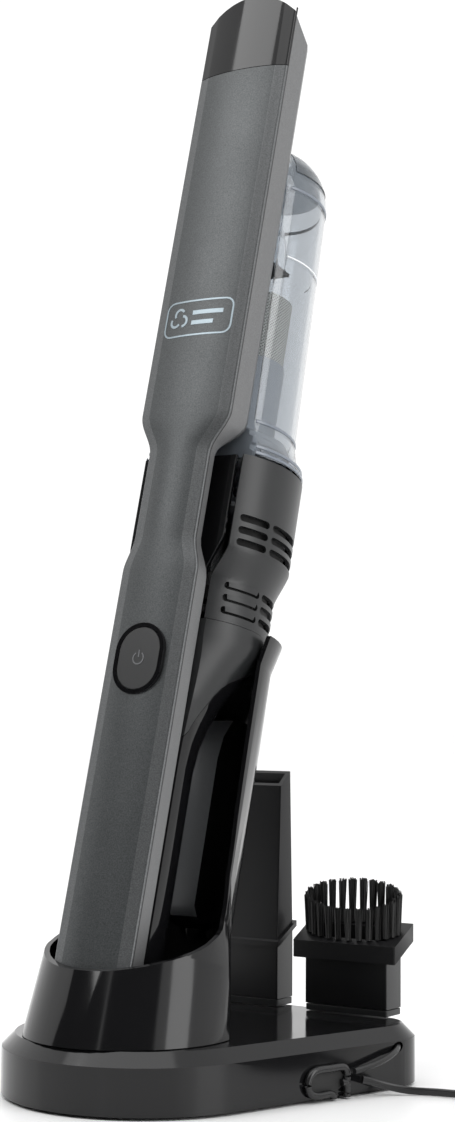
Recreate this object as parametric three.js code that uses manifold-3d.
// Slim cordless hand vacuum standing nozzle-up in its charging dock, with a crevice tool, a dusting
// brush and a charger lead. Millimetres, +Z up, the cover of the vacuum faces -Y.
import * as THREE from 'three';
import { mergeVertices } from 'three/addons/utils/BufferGeometryUtils.js';
import Module from 'manifold-3d';

const wasm = await Module();
wasm.setup();

// ---------------------------------------------------------------- driving dimensions
const GAP = 0.3;               // clearance between pieces that touch
const WALL = 2.2;              // usual moulded wall
const FAR = 200;               // reach of a cutter that goes right through

// The vacuum's own frame: x across, y from the cover backwards (depth), z along the tool to the nozzle.
const LEAN = THREE.MathUtils.degToRad(15.3);   // how far the tool leans back in the dock
const BUTTON_Y = -25.2;        // power button centre on the cover, in the dock's frame
const BUTTON_Z = 171.9;

const TAIL = -141;             // end of the handle, measured along the tool from the power button
const HANDLE_TOP = 38;         // cover starts to narrow
const WAIST_LOW = 53;
const WAIST_HIGH = 89;
const BAR_LOW = 107;           // cover is full width above here
const CAP_LINE = 267;          // seam between cover and nozzle cap
const TIP = 300;               // nozzle lip at the cover's edge
const HANDLE_HALF = 18.5;      // half widths of the cover
const WAIST_HALF = 15.1;
const BAR_HALF = 22.5;

const CROWN_EDGE = 4.2;        // depth of the crowned cover at its edge
const CREASE = 5.2;            // width of the bevelled border of the cover
const CREASE_DEPTH = 1.6;
const COVER_WALL = 1.9;
const FRAME_FRONT = 4.7;       // front plane of the light grey frame
const FRAME_INSET = 0.5;       // the frame stands in from the cover's edge by this much
const FRAME_WALL = 1.8;
const HANDLE_FRAME_BACK = 13.8;
const FRAME_CORNER = 1.6;
const WAIST_FRAME_BACK = 9.4;
const BAR_FRAME_BACK = 19.6;
const MOUTH_SLOPE = 0.7;       // slant of the nozzle mouth, rise per depth
const MOUTH_SAG = 7;           // how much lower the mouth's corners are than its middle

const AXIS_DEPTH = 37;         // common axis of motor and dust bin, behind the cover
const HOUSING_R = 34;
const COLLAR_R = 30;
const HOUSING_TOP = 91.5;
const SHOULDER_HIGH = 56;      // the housing tapers between these two
const SHOULDER_LOW = 43;
const HOUSING_SEAM = 21;
const HOUSING_FRONT = HANDLE_FRAME_BACK + GAP;   // flat front of the housing beside the cover's waist
const COLLAR_LOW = 14;         // below here the collar flows into the handle
const THROAT_LOW = -40;
const HANDLE_R = 18;           // grip: radius and centre depth of its rounded back
const HANDLE_CENTRE = 18.5;
const THROAT_POWER = 1.9;

const SLOT_HEIGHT = 3.4;
const SLOT_PITCH = 6.4;
const SLOT_RIB = 2;
const UPPER_SLOTS = 60.5;      // lowest slot of each group
const LOWER_SLOTS = 26.6;

const BIN_R = 26;              // dust bin at its rounded end and at its foot
const BIN_FOOT_R = 28.2;
const BIN_DOME = 218;
const BIN_END = 244;
const BIN_WALL = 1.8;
const BIN_FLAT = BAR_FRAME_BACK + 0.9;
const PORT_U = 205;            // air inlet between frame and bin
const PORT_W = 20;
const PORT_H = 12;

const FILTER_DEPTH = 40;       // the filter stands a little behind the motor's axis, clear of the bin's flat
const SCREEN_R = 16;
const SCREEN_LOW = 143;
const SCREEN_TOP = 173;
const CANISTER_R = 17;
const FILTER_WALL = 1.8;

const BASE_TOP = 24.5;
const BASE_CHAMFER = 5.2;
const BASE_R = 57;             // round front of the dock
const BASE_FRONT_Y = -18.5;    // its centre
const BASE_BACK_Y = 77;
const BASE_RIGHT = 80.5;       // back corners
const BASE_LEFT = -68;
const SIDE_ANGLE = THREE.MathUtils.degToRad(19);   // the right-hand wall runs this far out of square
const BACK_CORNER = 20;        // radius of the back corners
const RIGHT_CORNER_IN = 6;     // how far they stand in from the middle of the back
const LEFT_CORNER_IN = 4;
const SKIRT_LIFT = 0.2;        // the shell ends this far above the feet's top
const PLATE_TOP = 3.6;
const FOOT_R = 6;
const FOOT_H = 1;
const SCREW_TOP = 14;

const CUP_FOOT_R = 42.3;       // cup and spine share the motor's axis
const CUP_RIM_R = 39.8;
const SPINE_R = 32.6;
const SPINE_TOP = 20.5;
const LIP_R = 35.5;
const CUP_BACK = 23.3;         // the two flat back faces of the cup, off the button's upright line
const CUP_BACK_TURN = 34;      // degrees that they turn from the sides
const CUP_WALL = 2;
const RIB_HALF = 9;
const RIB_FRONT = 52.3;

const TOOL_W = 39.4;           // necks of both tools
const TOOL_D = 12.4;
const TOOL_WALL = 1.8;
const TOOL_Y = 68.6;
const TOOL_LOW = 27.8;
const CREVICE_X = -9.5;
const BRUSH_X = 44;
const CREVICE_TOP = 121.5;
const CREVICE_TIP_D = 7.6;
const COLLAR_Z = 53;
const COLLAR_H = 2.2;
const COLLAR_PROUD = 1.3;
const TOOL_SLOPE = 0.53;       // slant of the tools' collars, rise towards the back
const MOUTH_RISE = 0.8;        // slant of the crevice tool's mouth
const HEAD_Z = 51;
const HEAD_W = 49.5;
const HEAD_D = 16;
const HEAD_H = 7.2;
const TUFT_H = 17;
const PEG_TOP = 46;
const PEG_FIT = 0.8;           // how much smaller than its bore a peg is

const CELL_R = 9.1;
const CELL_L = 65;
const CELL_DEPTH = 24.9;
const BUTTON_W = 19.6;
const BUTTON_H = 25.6;
const BEZEL = 2.3;
const BUTTON_BACK = 3.4;       // back of the button's cap
const SWITCH_FRONT = 7.4;      // face of the switch under it
const BADGE_W = 34;
const BADGE_H = 16.4;
const BADGE_U = 149;

const CORD_R = 1.5;
const COIL_R = 16;             // middle of the coil's turns
const COIL_ROWS = 4;           // turns beside each other, and on each other
const COIL_X = 154;
const COIL_Y = 20;
const FLOOR_GAP = 0.2;

// ---------------------------------------------------------------- finishes
const FINISH = {
  cover: [0x4b5052, 0.42, 0.55],
  gloss: [0x0b0b0c, 0.12, 0],
  satin: [0x2a2c2e, 0.45, 0],
  strip: [0x9b9da0, 0.4, 0.2],
  clear: [0xb9c2cc, 0.08, 0],
  grey: [0x8c9096, 0.5, 0],
  mesh: [0xd9d3c3, 0.6, 0],
  rubber: [0x161616, 0.85, 0],
  metal: [0xb8bbc0, 0.3, 1],
  brass: [0xc9a24a, 0.3, 1],
  board: [0x1f5a3a, 0.6, 0],
  cell: [0x2f6fa8, 0.5, 0],
  paper: [0xe8e6df, 0.9, 0],
};

// ---------------------------------------------------------------- shape helpers
function clean(geometry) {
  const bare = geometry.index ? geometry.toNonIndexed() : geometry.clone();
  bare.deleteAttribute('normal');
  bare.deleteAttribute('uv');
  const merged = mergeVertices(bare, 1e-4);
  const from = merged.index.array;
  const kept = [];
  for (let i = 0; i < from.length; i += 3) {
    const [a, b, c] = [from[i], from[i + 1], from[i + 2]];
    if (a !== b && b !== c && c !== a) kept.push(a, b, c);
  }
  merged.setIndex(kept);
  return signedVolume(merged) < 0 ? turned(merged) : merged;
}

function signedVolume(geometry) {
  const place = geometry.attributes.position;
  const index = geometry.index.array;
  const [a, b, c] = [new THREE.Vector3(), new THREE.Vector3(), new THREE.Vector3()];
  let total = 0;
  for (let i = 0; i < index.length; i += 3) {
    a.fromBufferAttribute(place, index[i]);
    b.fromBufferAttribute(place, index[i + 1]);
    c.fromBufferAttribute(place, index[i + 2]);
    total += a.dot(b.cross(c));
  }
  return total / 6;
}

function turned(geometry) {
  const index = Array.from(geometry.index.array);
  for (let i = 0; i < index.length; i += 3) {
    [index[i + 1], index[i + 2]] = [index[i + 2], index[i + 1]];
  }
  geometry.setIndex(index);
  return geometry;
}

function solid(geometry) {
  const closed = clean(geometry);
  return new wasm.Manifold(new wasm.Mesh({
    numProp: 3,
    vertProperties: new Float32Array(closed.attributes.position.array),
    triVerts: new Uint32Array(closed.index.array),
  }));
}

function fromSolid(body) {
  const mesh = body.getMesh();
  const geometry = new THREE.BufferGeometry();
  geometry.setAttribute('position', new THREE.BufferAttribute(new Float32Array(mesh.vertProperties), 3));
  geometry.setIndex(Array.from(mesh.triVerts));
  return geometry;
}

function cut(geometry, ...cutters) {
  return fromSolid(cutters.reduce((body, cutter) => body.subtract(solid(cutter)), solid(geometry)));
}

function keep(geometry, region) {
  return fromSolid(solid(geometry).intersect(solid(region)));
}

function join(...geometries) {
  return fromSolid(geometries.slice(1).reduce((body, more) => body.add(solid(more)), solid(geometries[0])));
}

function part(name, geometry, finish) {
  const [color, roughness, metalness] = FINISH[finish];
  const mesh = new THREE.Mesh(clean(geometry), new THREE.MeshStandardMaterial({ color, roughness, metalness }));
  mesh.name = name;
  return mesh;
}

const smooth = (value, low, high) => THREE.MathUtils.smoothstep(value, low, high);
const mix = THREE.MathUtils.lerp;

// A section in x and depth, carried along the tool through the given stations.
function loft(section, stations, place) {
  const steps = stations.length - 1;
  const geometry = new THREE.ExtrudeGeometry(section, { depth: steps, steps, bevelEnabled: false, curveSegments: 2 });
  const points = geometry.attributes.position;
  for (let i = 0; i < points.count; i++) {
    const station = stations[Math.round(points.getZ(i))];
    points.setXYZ(i, ...place(points.getX(i), points.getY(i), station));
  }
  return geometry;
}

function polygon(points) {
  return new THREE.Shape(points.map(([x, y]) => new THREE.Vector2(x, y)));
}

function box(x, y, z, width, depth, height) {
  return new THREE.BoxGeometry(width, depth, height).translate(x, y, z);
}

function boxBetween(low, high) {
  const size = high.map((value, i) => value - low[i]);
  const middle = high.map((value, i) => (value + low[i]) / 2);
  return box(...middle, ...size);
}

// A closed profile of [radius, height] turned about a line along z at the given depth.
function turn(profile, depth, segments) {
  const points = profile.map(([radius, height]) => new THREE.Vector2(radius, height));
  return new THREE.LatheGeometry(points, segments).rotateX(Math.PI / 2).translate(0, depth, 0);
}

function rod(x, depth, low, high, radius, segments = 24) {
  const geometry = new THREE.CylinderGeometry(radius, radius, high - low, segments);
  return geometry.rotateX(Math.PI / 2).translate(x, depth, (low + high) / 2);
}

function roundedRect(width, height, radius) {
  const [x, y, r] = [width / 2, height / 2, Math.min(radius, width / 2, height / 2)];
  const shape = new THREE.Shape();
  shape.moveTo(-x + r, -y);
  shape.lineTo(x - r, -y);
  shape.absarc(x - r, -y + r, r, -Math.PI / 2, 0);
  shape.lineTo(x, y - r);
  shape.absarc(x - r, y - r, r, 0, Math.PI / 2);
  shape.lineTo(-x + r, y);
  shape.absarc(-x + r, y - r, r, Math.PI / 2, Math.PI);
  shape.lineTo(-x, -y + r);
  shape.absarc(-x + r, -y + r, r, Math.PI, 1.5 * Math.PI);
  return shape;
}

// A flat outline in x and z, given thickness between two depths.
function plate(shape, front, back, curveSegments = 4) {
  const options = { depth: back - front, bevelEnabled: false, curveSegments };
  return new THREE.ExtrudeGeometry(shape, options).rotateX(Math.PI / 2).translate(0, back, 0);
}

// A flat outline in x and y, given thickness between two heights.
function slab(shape, low, high, curveSegments = 4) {
  const options = { depth: high - low, bevelEnabled: false, curveSegments };
  return new THREE.ExtrudeGeometry(shape, options).translate(0, 0, low);
}

// An outline in depth and z, carried across the tool.
function across(points, halfWidth) {
  const options = { depth: 2 * halfWidth, bevelEnabled: false };
  const geometry = new THREE.ExtrudeGeometry(polygon(points), options);
  return geometry.applyMatrix4(new THREE.Matrix4().set(0, 0, 1, -halfWidth, 1, 0, 0, 0, 0, 1, 0, 0, 0, 0, 0, 1));
}

function slanted(geometry, slope, centre) {
  const points = geometry.attributes.position;
  for (let i = 0; i < points.count; i++) {
    points.setZ(i, points.getZ(i) + slope * (points.getY(i) - centre));
  }
  return geometry;
}

// ---------------------------------------------------------------- outline of the bar: cover and frame
function barHalf(u) {
  const waisted = mix(HANDLE_HALF, WAIST_HALF, smooth(u, HANDLE_TOP, WAIST_LOW));
  return mix(waisted, BAR_HALF, smooth(u, WAIST_HIGH, BAR_LOW));
}

function frameBack(u) {
  const waisted = mix(HANDLE_FRAME_BACK, WAIST_FRAME_BACK, smooth(u, HANDLE_TOP - 4, WAIST_LOW));
  return mix(waisted, BAR_FRAME_BACK, smooth(u, WAIST_HIGH, BAR_LOW - 2));
}

function barStations(low, high) {
  const between = (from, to, count) => Array.from({ length: count }, (_, i) => mix(from, to, i / count));
  const all = [
    ...between(HANDLE_TOP - 4, WAIST_LOW, 6),
    ...between(WAIST_LOW, WAIST_HIGH - 6, 2),
    ...between(WAIST_HIGH - 6, BAR_LOW, 8),
    BAR_LOW,
  ];
  return [low, ...all.filter((u) => u > low + 1 && u < high - 1), high];
}

const widen = (x, half) => x + Math.sign(x) * (half - HANDLE_HALF);

// Everything beyond the slanted nozzle mouth.
function beyondMouth() {
  const count = 12;
  const edge = Array.from({ length: count + 1 }, (_, i) => {
    const x = mix(-30, 30, i / count);
    return [x, TIP + MOUTH_SLOPE * CROWN_EDGE - MOUTH_SAG * (x / BAR_HALF) ** 2];
  });
  const above = plate(polygon([...edge, [30, TIP + 60], [-30, TIP + 60]]), -20, 60);
  return slanted(above, -MOUTH_SLOPE, 0);
}

function crownSection() {
  const w = HANDLE_HALF;
  const inner = w - COVER_WALL;
  return polygon([
    [0, 0], [w * 0.4, 0.35], [w - CREASE, CREASE_DEPTH], [w - 1, CROWN_EDGE - 1.1], [w, CROWN_EDGE],
    [w, CROWN_EDGE + 0.2], [inner, CROWN_EDGE + 0.2], [inner - CREASE + 1, CREASE_DEPTH + COVER_WALL],
    [0, COVER_WALL], [-inner + CREASE - 1, CREASE_DEPTH + COVER_WALL], [-inner, CROWN_EDGE + 0.2],
    [-w, CROWN_EDGE + 0.2], [-w, CROWN_EDGE], [-w + 1, CROWN_EDGE - 1.1], [-w + CREASE, CREASE_DEPTH],
    [-w * 0.4, 0.35],
  ]);
}

function crowned(low, high) {
  return loft(crownSection(), barStations(low, high), (x, depth, u) => {
    const near = Math.abs(x) < HANDLE_HALF * 0.5;
    return [near ? x : widen(x, barHalf(u)), depth, u];
  });
}

// A thin piece that follows the middle of the crown, for the badge and its pocket.
function crownInlay(width, height, front, back) {
  const half = width / 2;
  const rise = (x) => 0.35 * (x / (BAR_HALF * 0.4)) ** 2 * 0.6;
  const xs = [-half, -half / 2, 0, half / 2, half];
  const face = xs.map((x) => [x, front + rise(x)]);
  const rear = xs.map((x) => [x, back + rise(x)]).reverse();
  const geometry = loft(polygon([...face, ...rear]), [-height / 2, height / 2], (x, depth, u) => [x, depth, u + BADGE_U]);
  return keep(geometry, plate(roundedRect(width, height, 4), front - 5, back + 5).translate(0, 0, BADGE_U));
}

function topCover() {
  const shell = crowned(TAIL, CAP_LINE - GAP / 2);
  const bezelHole = plate(roundedRect(BUTTON_W + 2 * BEZEL, BUTTON_H + 2 * BEZEL, 12), -5, 8, 6);
  return cut(shell, bezelHole, crownInlay(BADGE_W + 2 * GAP, BADGE_H + 2 * GAP, -3, 1.1));
}

function nozzleCap() {
  return cut(crowned(CAP_LINE + GAP / 2, TIP + 8), beyondMouth());
}

// The light grey tray that runs the whole length behind the cover.
function traySection(inset) {
  const w = HANDLE_HALF - FRAME_INSET - inset;
  const narrow = w - FRAME_CORNER;
  return polygon([[-w, 0], [w, 0], [w, 0.8], [narrow, 1], [-narrow, 1], [-w, 0.8]]);
}

function tray(low, high, inset, front) {
  return loft(traySection(inset), barStations(low, high), (x, depth, u) => {
    return [widen(x, barHalf(u)), mix(front, frameBack(u) - inset, depth), u];
  });
}

function bodyFrame() {
  const port = boxBetween([-PORT_W / 2, 10, PORT_U - PORT_H / 2], [PORT_W / 2, 30, PORT_U + PORT_H / 2]);
  const hollow = tray(TAIL + FRAME_WALL, TIP + 12, FRAME_WALL, -1);
  return cut(tray(TAIL, TIP + 8, 0, FRAME_FRONT), hollow, beyondMouth(), port);
}

// Air duct inside the bar, from the mouth down to the port into the bin.
function airDuct() {
  const half = BAR_HALF - FRAME_INSET - FRAME_WALL - FRAME_CORNER - GAP;
  const front = 6.6;
  const back = BAR_FRAME_BACK - FRAME_WALL - GAP;
  const low = PORT_U - PORT_H / 2 - 3;
  const outer = boxBetween([-half, front, low], [half, back, TIP + 8]);
  const inner = boxBetween([-half + 1.4, front + 1.4, low + 1.6], [half - 1.4, back - 1.4, TIP + 20]);
  const port = boxBetween([-PORT_W / 2, back - 5, PORT_U - PORT_H / 2], [PORT_W / 2, 30, PORT_U + PORT_H / 2]);
  const throat = boxBetween([-FAR, -20, TIP - 8], [FAR, FAR, TIP + 60]);
  return cut(outer, inner, port, slanted(throat, -MOUTH_SLOPE, 0));
}

// ---------------------------------------------------------------- handle grip, throat and collar
const throatShare = (u) => THREE.MathUtils.clamp((u - THROAT_LOW) / (COLLAR_LOW - THROAT_LOW), 0, 1) ** THROAT_POWER;
const ARC_POINTS = 20;

function gripLoft(low, high, wall, front) {
  const spread = THREE.MathUtils.degToRad(30);
  const angles = Array.from({ length: ARC_POINTS + 1 }, (_, i) => mix(-spread, Math.PI + spread, i / ARC_POINTS));
  const stations = [low, THROAT_LOW, -30, -21, -13, -6, 0, 5, 10, COLLAR_LOW, high];
  const shares = new Map(angles.map((angle, i) => [Math.cos(angle).toFixed(5) + Math.sin(angle).toFixed(5), i / ARC_POINTS]));
  return loft(polygon(angles.map((a) => [Math.cos(a), Math.sin(a)])), stations, (x, y, u) => {
    const share = throatShare(u);
    const radius = mix(HANDLE_R, COLLAR_R, share) - wall;
    const centre = mix(HANDLE_CENTRE, AXIS_DEPTH, share);
    const dip = Math.asin(THREE.MathUtils.clamp((centre - front) / radius, -1, 1));
    const at = mix(-dip, Math.PI + dip, shares.get(x.toFixed(5) + y.toFixed(5)));
    return [radius * Math.cos(at), centre + radius * Math.sin(at), u];
  });
}

const GRIP_FRONT = HANDLE_FRAME_BACK + GAP;

function gripAndCollar() {
  const outer = gripLoft(TAIL, HOUSING_SEAM - GAP / 2, 0, GRIP_FRONT);
  const inner = gripLoft(TAIL + WALL, HOUSING_SEAM + 5, WALL, GRIP_FRONT + 1);
  const mouth = boxBetween([-HANDLE_R + 3, -5, TAIL + WALL], [HANDLE_R - 3, GRIP_FRONT + 4, FAR]);
  return cut(outer, inner, mouth);
}

// The parting line between grip and collar, an arch seen from the side.
function aboveArch(drop) {
  const curve = new THREE.SplineCurve([
    [0, -36], [14, -28], [18, -20], [27, -5], [38, 2], [54, 9], [80, 14],
  ].map(([depth, u]) => new THREE.Vector2(depth, u - drop)));
  const edge = curve.getPoints(18).map((point) => [point.x, point.y]);
  return across([...edge, [80, FAR], [0, FAR]], 60);
}

function motorHousing() {
  const inner = HOUSING_R - WALL;
  const low = HOUSING_SEAM + GAP / 2;
  const shell = turn([
    [COLLAR_R, low], [COLLAR_R, SHOULDER_LOW], [HOUSING_R, SHOULDER_HIGH], [HOUSING_R, HOUSING_TOP],
    [inner, HOUSING_TOP], [inner, SHOULDER_HIGH], [COLLAR_R - WALL, SHOULDER_LOW], [COLLAR_R - WALL, low],
    [COLLAR_R, low],
  ], AXIS_DEPTH, 40);
  const front = boxBetween([-FAR, -FAR, -FAR], [FAR, HOUSING_FRONT, FAR]);
  return cut(shell, front, ...ventSlots(UPPER_SLOTS, 24), ...ventSlots(LOWER_SLOTS, 20));
}

// Three slots on each side, each split by a rib.
function ventSlots(low, start) {
  const slots = [];
  const ribDepth = AXIS_DEPTH + 1;
  for (let row = 0; row < 3; row++) {
    const z = low + row * SLOT_PITCH;
    for (const [front, back] of [[start, ribDepth - SLOT_RIB], [ribDepth, ribDepth + 20]]) {
      slots.push(boxBetween([-50, front, z], [-19, back, z + SLOT_HEIGHT]));
      slots.push(boxBetween([19, front, z], [50, back, z + SLOT_HEIGHT]));
    }
  }
  return slots;
}

function cowlFront() {
  const half = Math.sqrt(HOUSING_R ** 2 - (AXIS_DEPTH - HOUSING_FRONT) ** 2) - WALL - 1.6;
  const lowHalf = Math.sqrt(COLLAR_R ** 2 - (AXIS_DEPTH - HOUSING_FRONT) ** 2) - WALL - 1.8;
  const shape = polygon([
    [-lowHalf, HOUSING_SEAM + 1], [lowHalf, HOUSING_SEAM + 1], [lowHalf, SHOULDER_LOW],
    [half, SHOULDER_HIGH], [half, HOUSING_TOP], [-half, HOUSING_TOP], [-half, SHOULDER_HIGH], [-lowHalf, SHOULDER_LOW],
  ]);
  return plate(shape, HOUSING_FRONT, HOUSING_FRONT + 1.8);
}

// ---------------------------------------------------------------- inside the body
function motorParts() {
  const can = turn([[0, 24], [15, 24], [17.5, 26.5], [17.5, 66], [4, 66], [4, 68], [0, 68]], AXIS_DEPTH, 28);
  const mount = turn([[17.8, 30], [27.4, 30], [27.4, 36], [17.8, 36], [17.8, 30]], AXIS_DEPTH, 32);
  const front = boxBetween([-FAR, -FAR, -FAR], [FAR, HANDLE_FRAME_BACK + 3, FAR]);
  return [part('motor', can, 'metal'), part('motor_mount', cut(mount, front), 'rubber')];
}

const FAN_LOW = 73;

function rotorParts() {
  const shaft = rod(0, AXIS_DEPTH, 68.3, 88, 1.6, 16);
  const hub = rod(0, AXIS_DEPTH, FAN_LOW, FAN_LOW + 10, 6, 20);
  const disc = rod(0, AXIS_DEPTH, FAN_LOW, FAN_LOW + 1.6, 20.5, 32);
  const blades = [];
  for (let i = 0; i < 7; i++) {
    const blade = box(13, 0, FAN_LOW + 4.8, 15, 1.4, 7);
    blades.push(blade.rotateZ((i * 2 * Math.PI) / 7).translate(0, AXIS_DEPTH, 0));
  }
  const bore = rod(0, AXIS_DEPTH, FAN_LOW - 5, FAN_LOW + 15, 1.6 + GAP, 16);
  return [
    part('motor_shaft', shaft, 'metal'),
    part('fan_impeller', cut(join(hub, disc, ...blades), bore), 'grey'),
  ];
}

function batteryParts() {
  const low = TAIL + WALL + 1.2;
  const cells = [0, 1].map((i) => {
    const from = low + i * (CELL_L + 1);
    const can = turn([
      [0, from], [CELL_R, from], [CELL_R, from + CELL_L - 2], [CELL_R - 1, from + CELL_L - 1.4],
      [3, from + CELL_L - 1.4], [3, from + CELL_L], [0, from + CELL_L],
    ], CELL_DEPTH, 24);
    return part(`battery_cell_${i + 1}`, can, 'cell');
  });
  const front = GRIP_FRONT + 0.6;
  const strip = boxBetween([-4, front, low + 4], [4, CELL_DEPTH - CELL_R - GAP, low + 2 * CELL_L - 4]);
  return [...cells, part('cell_link', strip, 'metal')];
}

function controlParts() {
  const board = boxBetween([-12.5, 10.2, -58], [12.5, 11.6, 30]);
  const contacts = [-1, 1].map((side) => {
    const name = side < 0 ? 'charge_contact_left' : 'charge_contact_right';
    return part(name, boxBetween([side * 6 - 2, 6, TAIL - 0.9], [side * 6 + 2, 10, TAIL - GAP]), 'brass');
  });
  const relay = boxBetween([-5, 7.6, -48], [5, 9.9, -36]);
  return [
    part('control_board', board, 'board'),
    part('charge_chip', relay, 'rubber'),
    part('power_switch', boxBetween([-4, SWITCH_FRONT, -4], [4, 9.9, 4]), 'rubber'),
    ...contacts,
  ];
}

// ---------------------------------------------------------------- power button
function buttonParts() {
  const face = -0.5;
  const outer = roundedRect(BUTTON_W + 2 * BEZEL - 2 * GAP, BUTTON_H + 2 * BEZEL - 2 * GAP, 11.5);
  const inner = roundedRect(BUTTON_W + 2 * GAP, BUTTON_H + 2 * GAP, 10);
  const bezel = cut(plate(outer, face, 4.4, 6), plate(inner, -5, 8, 6));
  const cap = plate(roundedRect(BUTTON_W, BUTTON_H, 9.6), face + 0.1, BUTTON_BACK, 6);
  const stem = rod(0, 0, 0, 2.2, 2, 16).rotateX(-Math.PI / 2).translate(0, BUTTON_BACK - GAP, 0);
  return {
    bezel: part('button_bezel', bezel, 'gloss'),
    button: part('power_button', join(cap, stem), 'gloss'),
    spring: part('button_spring', buttonSpring(BUTTON_BACK + GAP, SWITCH_FRONT - GAP), 'metal'),
  };
}

// A short compression spring round the button's stem, drawn at its height at rest.
function buttonSpring(front, back) {
  const wire = 0.35;
  const turns = 2.5;
  const radius = 3.6;
  const last = 25;
  const points = Array.from({ length: last + 1 }, (_, i) => {
    const angle = (i / last) * turns * 2 * Math.PI;
    const depth = mix(front + wire, back - wire, i / last);
    return new THREE.Vector3(radius * Math.cos(angle), depth, radius * Math.sin(angle));
  });
  return tube(points, wire, 6, 36);
}

function tube(points, radius, sides, steps) {
  const ring = Array.from({ length: sides }, (_, i) => {
    const angle = (i / sides) * 2 * Math.PI;
    return [radius * Math.cos(angle), radius * Math.sin(angle)];
  });
  const extrudePath = new THREE.CatmullRomCurve3(points, false, 'centripetal');
  return new THREE.ExtrudeGeometry(polygon(ring), { steps, bevelEnabled: false, extrudePath });
}

// ---------------------------------------------------------------- dust bin and filter
function binProfile(wall) {
  const foot = HOUSING_TOP + 1;
  const dome = Array.from({ length: 7 }, (_, i) => {
    const angle = (i / 6) * (Math.PI / 2);
    return [(BIN_R - wall) * Math.cos(angle), BIN_DOME + (BIN_END - BIN_DOME - wall) * Math.sin(angle)];
  });
  dome[6][0] = 0;
  const low = wall > 0 ? foot - 5 : foot;
  return [
    [0, low], [HOUSING_R - 0.4 - wall, low], [HOUSING_R - 0.4 - wall, foot + 1.5], [BIN_FOOT_R + 1.6 - wall, foot + 9],
    [BIN_FOOT_R - wall, foot + 16], ...dome,
  ];
}

function behind(depth) {
  return boxBetween([-FAR, depth, -FAR], [FAR, FAR, 2 * FAR]);
}

function binParts() {
  const outer = keep(turn(binProfile(0), AXIS_DEPTH, 36), behind(BIN_FLAT));
  const inner = keep(turn(binProfile(BIN_WALL), AXIS_DEPTH, 36), behind(BIN_FLAT + BIN_WALL));
  const port = boxBetween([-PORT_W / 2, 10, PORT_U - PORT_H / 2], [PORT_W / 2, 30, PORT_U + PORT_H / 2]);
  return [part('dust_bin', cut(outer, inner, port), 'clear'), part('inlet_elbow', inletElbow(), 'clear')];
}

// The duct that turns the incoming air down the bin.
const ELBOW_FRONT = BIN_FLAT + BIN_WALL + GAP;
const ELBOW_OUT = 190;

function inletElbow() {
  const ring = roundedRect(PORT_H + 3, PORT_W + 3, 4);
  ring.holes.push(roundedRect(PORT_H, PORT_W, 3));
  const extrudePath = new THREE.CatmullRomCurve3([
    new THREE.Vector3(0, ELBOW_FRONT, PORT_U),
    new THREE.Vector3(0, ELBOW_FRONT + 6, PORT_U),
    new THREE.Vector3(0, ELBOW_FRONT + 14.5, PORT_U - 5),
    new THREE.Vector3(0, ELBOW_FRONT + 16, PORT_U - 10),
    new THREE.Vector3(0, ELBOW_FRONT + 16, ELBOW_OUT),
  ], false, 'centripetal');
  return new THREE.ExtrudeGeometry(ring, { steps: 8, bevelEnabled: false, curveSegments: 2, extrudePath });
}

function inletFlap() {
  const low = ELBOW_OUT - 2.6;
  const depth = ELBOW_FRONT + 16;
  const leaf = boxBetween([-11, depth - 7.5, low], [11, depth + 7.5, low + 1.2]);
  return part('inlet_flap', join(leaf, hingeRoll(depth - 8.4, low + 0.6)), 'rubber');
}

function hingeRoll(depth, z) {
  return new THREE.CylinderGeometry(1.1, 1.1, 22, 16).rotateZ(Math.PI / 2).translate(0, depth, z);
}

function filterParts() {
  const foot = HOUSING_TOP + 1.4;
  const rings = turn([
    [0, foot], [27.6, foot], [27.6, foot + 3], [26, foot + 4], [26, foot + 6], [26.8, foot + 7],
    [26.8, foot + 9.5], [25, foot + 10.5], [25, foot + 12.5], [CANISTER_R + 2, foot + 15.5], [0, foot + 15.5],
  ], AXIS_DEPTH, 36);
  const canister = join(
    keep(rings, behind(BIN_FLAT + BIN_WALL + GAP)),
    rod(0, FILTER_DEPTH, foot + 10, SCREEN_LOW, CANISTER_R, 32),
  );
  const bore = rod(0, FILTER_DEPTH, foot - 5, SCREEN_LOW + 5, CANISTER_R - FILTER_WALL, 32);
  const screen = turn([
    [SCREEN_R - 1.4, SCREEN_LOW + GAP], [SCREEN_R, SCREEN_LOW + GAP], [SCREEN_R, SCREEN_TOP],
    [0, SCREEN_TOP], [0, SCREEN_TOP - 1.6], [SCREEN_R - 1.4, SCREEN_TOP - 1.6], [SCREEN_R - 1.4, SCREEN_LOW + GAP],
  ], FILTER_DEPTH, 32);
  return [
    part('filter_canister', cut(canister, bore), 'grey'),
    part('mesh_screen', screen, 'mesh'),
    part('pleated_filter', pleatedFilter(foot + 16), 'paper'),
  ];
}

function pleatedFilter(low) {
  const points = [];
  for (let i = 0; i < 28; i++) {
    const angle = (i / 28) * 2 * Math.PI;
    const radius = i % 2 ? 10.6 : 13.8;
    points.push([radius * Math.cos(angle), radius * Math.sin(angle)]);
  }
  return slab(polygon(points), low, SCREEN_TOP - 4).translate(0, FILTER_DEPTH, 0);
}

function sealRing() {
  const foot = HOUSING_TOP + 0.3;
  const [inner, outer] = [HOUSING_R - 5.8, HOUSING_R - 3.6];
  return part('bin_seal', keep(turn([
    [inner, foot], [outer, foot], [outer, foot + 3.2], [inner, foot + 3.2], [inner, foot],
  ], AXIS_DEPTH, 40), behind(BIN_FLAT + BIN_WALL + 1)), 'rubber');
}

// The release slide sits in the rear of the housing, just below the bin.
const LATCH_W = 14;
const LATCH_H = 15;

function latchWindow() {
  return boxBetween([-LATCH_W / 2 - GAP, AXIS_DEPTH, HOUSING_TOP - 4 - LATCH_H - GAP],
    [LATCH_W / 2 + GAP, FAR, HOUSING_TOP - 4 + GAP]);
}

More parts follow.
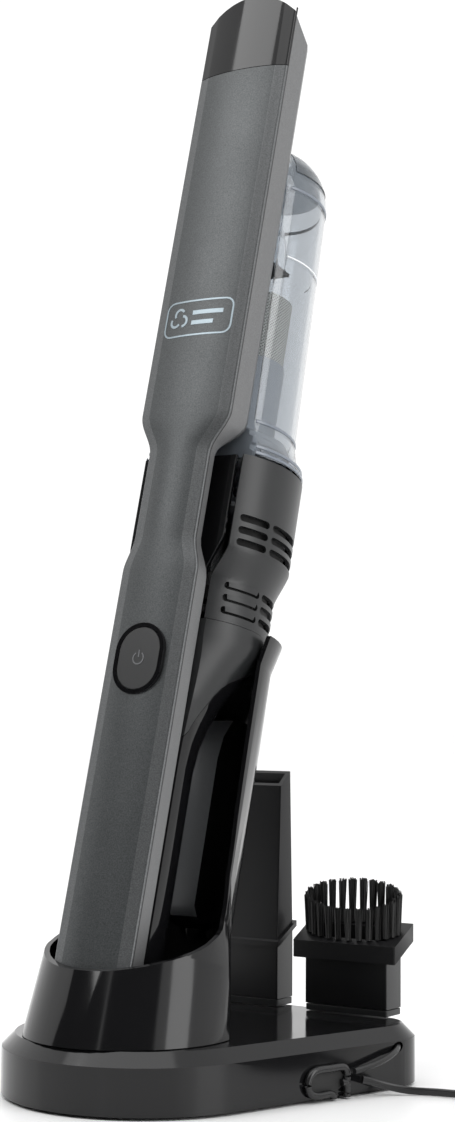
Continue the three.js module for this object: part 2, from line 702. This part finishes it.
function latchButton() {
  const back = AXIS_DEPTH + HOUSING_R;
  const high = HOUSING_TOP - 4;
  const pad = boxBetween([-LATCH_W / 2, back - 4, high - LATCH_H], [LATCH_W / 2, back + 0.6, high]);
  const ridges = [3.5, 7.5, 11.5].map((step) => {
    return boxBetween([-LATCH_W / 2 + 1.5, back, high - step - 0.8], [LATCH_W / 2 - 1.5, back + 1.4, high - step + 0.8]);
  });
  return part('bin_latch', join(pad, ...ridges), 'satin');
}

// ---------------------------------------------------------------- dock
function baseOutline(inset) {
  const front = BASE_R - inset;
  const corner = BACK_CORNER - inset;
  const [left, right] = [BASE_LEFT + inset, BASE_RIGHT - inset];
  const back = BASE_BACK_Y - inset;
  const slim = THREE.MathUtils.degToRad(4);
  const lean = 0.08;
  const bow = 4;
  const shape = new THREE.Shape();
  shape.absarc(0, BASE_FRONT_Y, front, Math.PI + slim, 2 * Math.PI - SIDE_ANGLE, false);
  shape.absarc(right - corner, back - corner - RIGHT_CORNER_IN, corner, -SIDE_ANGLE, Math.PI / 2 - lean, false);
  shape.quadraticCurveTo((left + right) / 2, back + bow, left + corner, back - LEFT_CORNER_IN);
  shape.absarc(left + corner, back - LEFT_CORNER_IN - corner, corner, Math.PI / 2 + lean, Math.PI + slim, false);
  return shape;
}

// The dock's outer form, or its hollow when a wall is given, reaching below the floor.
function baseForm(wall, curveSegments) {
  const below = 10;
  return new THREE.ExtrudeGeometry(baseOutline(BASE_CHAMFER + wall), {
    depth: BASE_TOP - BASE_CHAMFER - wall + below, bevelEnabled: true, bevelThickness: BASE_CHAMFER,
    bevelSize: BASE_CHAMFER, bevelSegments: 1, steps: 1, curveSegments,
  }).translate(0, 0, -below);
}

function baseShell() {
  const above = boxBetween([-FAR, -FAR, FOOT_H + SKIRT_LIFT], [FAR, FAR, FAR]);
  return cut(keep(baseForm(0, 10), above), baseForm(WALL, 5), onRightWall(feedHole()), onRightWall(glandStud(GAP)));
}

function basePlate() {
  return slab(baseOutline(WALL + 2 * GAP), FOOT_H + GAP, PLATE_TOP, 4);
}

const FEET = [['front', 0, -58], ['back_left', -48, 56], ['back_right', 58, 54]];
const SCREWS = [['left', -40, 10], ['right', 52, 16], ['front', 18, -52]];

function baseParts() {
  const feet = FEET.map(([name, x, y]) => part(`foot_${name}`, rod(x, y, 0, FOOT_H, FOOT_R, 24), 'rubber'));
  const screws = SCREWS.map(([name, x, y]) => {
    return part(`base_screw_${name}`, rod(x, y, PLATE_TOP + GAP, SCREW_TOP, 2.4, 12), 'metal');
  });
  const board = boxBetween([-30, 10, 9], [28, 44, 10.6]);
  return [
    part('base_shell', baseShell(), 'gloss'),
    part('base_plate', basePlate(), 'satin'),
    part('charger_board', board, 'board'),
    ...feet,
    ...screws,
  ];
}

// Right-hand wall of the dock. Its own frame has x outwards, y along the wall to the back and z up, from
// the middle of the cable gland.
const GLAND_ALONG = 46;        // from the end of the round front
const GLAND_Z = 8.2;
const GLAND_W = 20;
const GLAND_H = 12;
const GLAND_T = 4.4;
const GLAND_ROUND = 1;
const LEAD_OUT = 3.9;          // the lead lies this far off the wall
const LEAD_DROP = 1;
const NECK_END = 15.5;

function onRightWall(geometry) {
  const start = new THREE.Vector2(Math.cos(SIDE_ANGLE), -Math.sin(SIDE_ANGLE));
  const from = start.clone().multiplyScalar(BASE_R).add(new THREE.Vector2(0, BASE_FRONT_Y));
  const corner = new THREE.Vector2(BASE_RIGHT - BACK_CORNER, BASE_BACK_Y - BACK_CORNER - RIGHT_CORNER_IN);
  const run = start.clone().multiplyScalar(BACK_CORNER).add(corner).sub(from).normalize();
  const place = from.clone().addScaledVector(run, GLAND_ALONG);
  return geometry.rotateZ(Math.atan2(run.y, run.x) - Math.PI / 2).translate(place.x, place.y, GLAND_Z);
}

function glandStud(room) {
  return box(-1, 0, 0, 6, 10 + 2 * room, 4 + 2 * room);
}

// Cable gland: a rounded block on the wall, with a neck that the lead comes out of.
function glandBody() {
  const block = new THREE.ExtrudeGeometry(roundedRect(GLAND_W, GLAND_H, GLAND_H / 2), {
    depth: GLAND_T, bevelEnabled: true, bevelThickness: GLAND_ROUND, bevelSize: GLAND_ROUND, bevelSegments: 2,
    curveSegments: 6,
  }).applyMatrix4(new THREE.Matrix4().set(0, 0, 1, GAP + GLAND_ROUND, 1, 0, 0, 0, 0, 1, 0, 0, 0, 0, 0, 1));
  const length = NECK_END - GLAND_W / 2 + 2;
  const neck = new THREE.CylinderGeometry(CORD_R + 0.6, 2.6, length, 16);
  neck.translate(LEAD_OUT, NECK_END - length / 2, -LEAD_DROP);
  return part('cable_gland', onRightWall(join(block, neck, glandStud(0))), 'rubber');
}

// The lead comes out of the wall behind the gland and runs forward into it.
const FEED_POINTS = [
  [-4.6, 43, 9.8], [-1.6, 40.6, 9.1], [1.2, 37.6, 8.2], [3, 33.6, 7], [3.9, 28.4, 5.4], [4.1, 22.6, 4], [3.9, 17, 3],
  [3.8, 12.4, 2.6],
];

function feedHole() {
  const first = FEED_POINTS.slice(0, 4).map((point) => new THREE.Vector3(...point));
  return tube(first, CORD_R + 2 * GAP, 12, 8);
}

function feedLead() {
  const points = FEED_POINTS.map((point) => new THREE.Vector3(...point));
  return part('feed_lead', onRightWall(tube(points, CORD_R - GAP, 8, 16)), 'rubber');
}

function pegs() {
  return [['crevice_peg', CREVICE_X], ['brush_peg', BRUSH_X]].map(([name, x]) => {
    const foot = slab(roundedRect(TOOL_W, TOOL_D, 1), BASE_TOP + GAP, TOOL_LOW - GAP, 3);
    const inside = 2 * TOOL_WALL + PEG_FIT;
    const post = slab(roundedRect(TOOL_W - inside, TOOL_D - inside, 2), BASE_TOP + 1, PEG_TOP, 3);
    return part(name, join(foot, post).translate(x, TOOL_Y, 0), 'satin');
  });
}

// ---------------------------------------------------------------- cradle: cup and tall spine
function toTool(geometry) {
  return geometry.translate(0, -BUTTON_Y, -BUTTON_Z).rotateX(LEAN);
}

const CRADLE_LOW = -175;         // below the dock's top, where the shell is cut off level

function cradleShell(wall) {
  const top = SPINE_TOP + (wall ? 0.6 : 0);
  const cup = turn([
    [0, CRADLE_LOW], [CUP_FOOT_R + 2.6 - wall, CRADLE_LOW], [CUP_FOOT_R - wall, -143], [CUP_RIM_R - wall, -114],
    [SPINE_R + 1.6 - wall, -96], [SPINE_R - wall, -78], [0, -78],
  ], AXIS_DEPTH, 48);
  const spine = turn([
    [0, CRADLE_LOW], [SPINE_R - wall, CRADLE_LOW], [SPINE_R - wall, SPINE_TOP - 12], [LIP_R - wall, top], [0, top],
  ], AXIS_DEPTH, 48);
  return join(keep(cup, toTool(inFrontOfCupBack(wall))), spine);
}

// The cup has two upright flat faces behind, which meet at its spine.
function inFrontOfCupBack(wall) {
  const turned = THREE.MathUtils.degToRad(CUP_BACK_TURN);
  const off = CUP_BACK - wall;
  const side = (y) => (off - y * Math.sin(turned)) / Math.cos(turned);
  const outline = [[0, off / Math.sin(turned)], [-side(-FAR), -FAR], [side(-FAR), -FAR]];
  return slab(polygon(outline), -FAR, FAR);
}

function cradle() {
  const belowDock = toTool(boxBetween([-FAR, -FAR, -FAR], [FAR, FAR, BASE_TOP + GAP]));
  const shell = cut(cradleShell(0), cradleShell(CUP_WALL), inFrontOfRim(), belowDock);
  return part('cradle', join(shell, cradleRib()), 'gloss');
}

// Everything in front of the rim: low across the front of the cup, then sweeping up both sides.
function inFrontOfRim() {
  const curve = new THREE.SplineCurve([
    [-12, -127], [-4, -125], [13, -115.5], [24.5, -109], [31.5, -104], [36.5, -99.5], [39, -93], [39.8, -82],
    [39.8, -67], [39, -50], [38.5, -15], [38.5, 60],
  ].map(([depth, u]) => new THREE.Vector2(depth, u)));
  const edge = curve.getPoints(20).map((point) => [point.x, point.y]);
  return across([...edge, [-60, 60], [-60, -127]], 70);
}

function cradleRib() {
  const back = AXIS_DEPTH + SPINE_R - 1;
  const profile = [
    [RIB_FRONT, -89], [RIB_FRONT + 3, -93], [back, -96], [back, -8], [RIB_FRONT + 7, -10], [RIB_FRONT + 2, -18],
    [RIB_FRONT, -28],
  ];
  return across(profile, RIB_HALF);
}

function chargeParts() {
  const block = boxBetween([-11, -58, BASE_TOP + GAP], [11, -48, BASE_TOP + 3.4]);
  const pins = [-1, 1].map((side) => {
    const name = side < 0 ? 'charge_pin_left' : 'charge_pin_right';
    return part(name, rod(side * 6, -54.4, BASE_TOP + 3.4 + GAP, BASE_TOP + 7.4, 1.4, 16), 'brass');
  });
  return [part('contact_block', block, 'rubber'), ...pins];
}

// ---------------------------------------------------------------- tools on their pegs
// A small-cornered box section [width, depth, height, slope] carried from station to station.
function neckLoft(stations) {
  return loft(roundedRect(1, 1, 0.02), stations, (x, y, [width, depth, z, slope]) => {
    return [x * width, y * depth, z + slope * y * depth];
  });
}

function creviceTool(wall) {
  const w = TOOL_W - 2 * wall;
  const d = TOOL_D - 2 * wall;
  const tip = CREVICE_TIP_D - 2 * wall + (wall ? 0.8 : 0);
  const low = wall ? TOOL_LOW - 3 : TOOL_LOW;
  const high = wall ? CREVICE_TOP + 6 : CREVICE_TOP;
  return neckLoft([[w, d, low, 0], [w, d, COLLAR_Z, 0], [w, tip, high, MOUTH_RISE]]);
}

function slantCollar() {
  const [width, depth] = [TOOL_W + 2 * COLLAR_PROUD, TOOL_D + 2 * COLLAR_PROUD];
  const low = COLLAR_Z + 1;
  return neckLoft([[width, depth, low, TOOL_SLOPE], [width, depth, low + COLLAR_H, TOOL_SLOPE]]);
}

function creviceParts() {
  const body = cut(join(creviceTool(0), slantCollar()), creviceTool(TOOL_WALL));
  return part('crevice_tool', body.translate(CREVICE_X, TOOL_Y, 0), 'satin');
}

function brushParts() {
  const top = HEAD_Z + HEAD_H;
  const [w, d] = [TOOL_W - 2 * TOOL_WALL, TOOL_D - 2 * TOOL_WALL];
  const neck = neckLoft([[TOOL_W, TOOL_D, TOOL_LOW, 0], [TOOL_W, TOOL_D, HEAD_Z + 1, TOOL_SLOPE]]);
  const head = neckLoft([[HEAD_W, HEAD_D, HEAD_Z, TOOL_SLOPE], [HEAD_W, HEAD_D, top, TOOL_SLOPE]]);
  const bore = neckLoft([[w, d, TOOL_LOW - 3, 0], [w, d, top + 8, TOOL_SLOPE]]);
  const [x, y] = [HEAD_W / 2 - 1.4, HEAD_D / 2 - 0.6];
  const [thickX, thickY] = [4.6, 2.6];
  const ring = new THREE.Shape().absellipse(0, 0, x, y, 0, 2 * Math.PI, false, 0);
  ring.holes.push(new THREE.Path().absellipse(0, 0, x - thickX, y - thickY, 0, 2 * Math.PI, false, 0));
  const tufts = slanted(slab(ring, top + GAP, top + GAP + TUFT_H, 8), TOOL_SLOPE, 0);
  return [
    part('brush_body', cut(join(neck, head), bore).translate(BRUSH_X, TOOL_Y, 0), 'satin'),
    part('brush_tufts', tufts.translate(BRUSH_X, TOOL_Y, 0), 'rubber'),
  ];
}

// ---------------------------------------------------------------- charger lead
const RUN_POINTS = [
  [76.2, 21.3, 7.1], [77.6, 24.6, 6.3], [79.7, 28, 5], [82.4, 31.2, 3.7], [85.6, 34.2, 2.6], [89.2, 36.9, 1.9],
  [93.4, 39, 1.7], [98.2, 40.6, 1.7], [104, 41.8, 1.7], [111, 42.9, 1.7], [119, 44, 1.7], [128, 44.8, 1.7],
  [137, 44.9, 1.7], [146, 44.2, 1.7], [154, 43.8, 1.7],
];
const TAIL_POINTS = [
  [177.8, 20, 9.2], [177.8, 11, 6.4], [177.8, 2, 3.4], [178.9, -3.4, 2.1], [182, -7.6, 1.7], [186, -9.9, 1.7],
  [190.4, -10.2, 1.7], [195, -8.8, 2.2], [199, -5.6, 3.8], [201.2, -2, 5.2], [202, 1, 5.8],
];

function leadTube(points, steps) {
  return tube(points.map((point) => new THREE.Vector3(...point)), CORD_R, 8, steps);
}

function leadParts() {
  const half = COIL_ROWS * CORD_R;
  const [inner, outer] = [COIL_R - half, COIL_R + half];
  const top = FLOOR_GAP + 2 * half;
  const coil = turn([
    [inner, FLOOR_GAP], [outer, FLOOR_GAP], [outer, top], [inner, top], [inner, FLOOR_GAP],
  ], 0, 32);
  const band = 1;
  const slack = 3 * GAP;
  const bandHole = boxBetween([inner - slack, -4, -1], [outer + GAP, 4, top + GAP]);
  const bandForm = boxBetween([inner - slack - band, -2.5, FLOOR_GAP], [outer + GAP + band, 2.5, top + GAP + band]);
  const tie = cut(bandForm, bandHole);
  return [
    part('lead_run', leadTube(RUN_POINTS, 34), 'rubber'),
    part('lead_coil', coil.translate(COIL_X, COIL_Y, 0), 'rubber'),
    part('lead_tie', tie.rotateZ(-Math.PI / 3).translate(COIL_X, COIL_Y, 0), 'rubber'),
    part('lead_tail', leadTube(TAIL_POINTS, 20), 'rubber'),
    ...adapterParts(),
  ];
}

// A generic plug-in charger lying beside the coil.
const ADAPTER = { x: 210, y: 47, width: 42, depth: 58, height: 26 };
const RELIEF = { x: -8, z: 6, length: 16 };

function adapterParts() {
  const { x, y, width, depth, height } = ADAPTER;
  const shape = roundedRect(width, depth, 6);
  const body = new THREE.ExtrudeGeometry(shape, {
    depth: height - 4, bevelEnabled: true, bevelThickness: 2, bevelSize: 2, bevelOffset: -2, bevelSegments: 2, curveSegments: 4,
  }).translate(x, y, 2);
  const relief = new THREE.CylinderGeometry(CORD_R + 0.7, 3.6, RELIEF.length, 16).rotateX(Math.PI);
  relief.translate(x + RELIEF.x, y - depth / 2 - RELIEF.length / 2 - GAP, RELIEF.z);
  const blades = [-1, 1].map((side) => {
    const name = side < 0 ? 'plug_blade_left' : 'plug_blade_right';
    const low = [x + side * 6.35 - 0.8, y + depth / 2 + GAP, 10];
    return part(name, boxBetween(low, [low[0] + 1.6, low[1] + 16, 16.4]), 'brass');
  });
  return [part('adapter_body', body, 'satin'), part('adapter_relief', relief, 'rubber'), ...blades];
}

// ---------------------------------------------------------------- assembly
function vacuum() {
  const group = new THREE.Group();
  const gripSolid = gripAndCollar();
  const { bezel, button, spring } = buttonParts();
  const inlay = crownInlay(BADGE_W, BADGE_H, -0.1, 0.8);
  group.add(
    part('top_cover', topCover(), 'cover'),
    part('nozzle_cap', nozzleCap(), 'gloss'),
    part('body_frame', bodyFrame(), 'strip'),
    part('air_duct', airDuct(), 'satin'),
    part('handle_grip', cut(gripSolid, aboveArch(GAP)), 'gloss'),
    part('exhaust_collar', keep(gripSolid, aboveArch(0)), 'satin'),
    part('motor_housing', cut(motorHousing(), latchWindow()), 'satin'),
    part('cowl_front', cowlFront(), 'gloss'),
    part('badge_plate', inlay, 'grey'),
    ...motorParts(), ...rotorParts(), ...batteryParts(), ...controlParts(),
    bezel, button, spring,
    ...binParts(), inletFlap(), ...filterParts(), sealRing(), latchButton(),
    cradle(),
  );
  group.rotation.x = -LEAN;
  group.position.set(0, BUTTON_Y, BUTTON_Z);
  return group;
}

const LEAD_NAMES = /^(lead_|adapter_|plug_)/;

const model = new THREE.Group();
model.add(
  vacuum(), ...baseParts(), glandBody(), feedLead(), ...pegs(), ...chargeParts(), creviceParts(), ...brushParts(),
  ...leadParts(),
);
model.updateMatrixWorld(true);
const extent = new THREE.Box3();
model.traverse((item) => {
  if (item.isMesh && !LEAD_NAMES.test(item.name)) extent.expandByObject(item, true);
});
const middle = extent.getCenter(new THREE.Vector3());
model.position.set(-middle.x, -middle.y, -extent.min.z);

export default model;
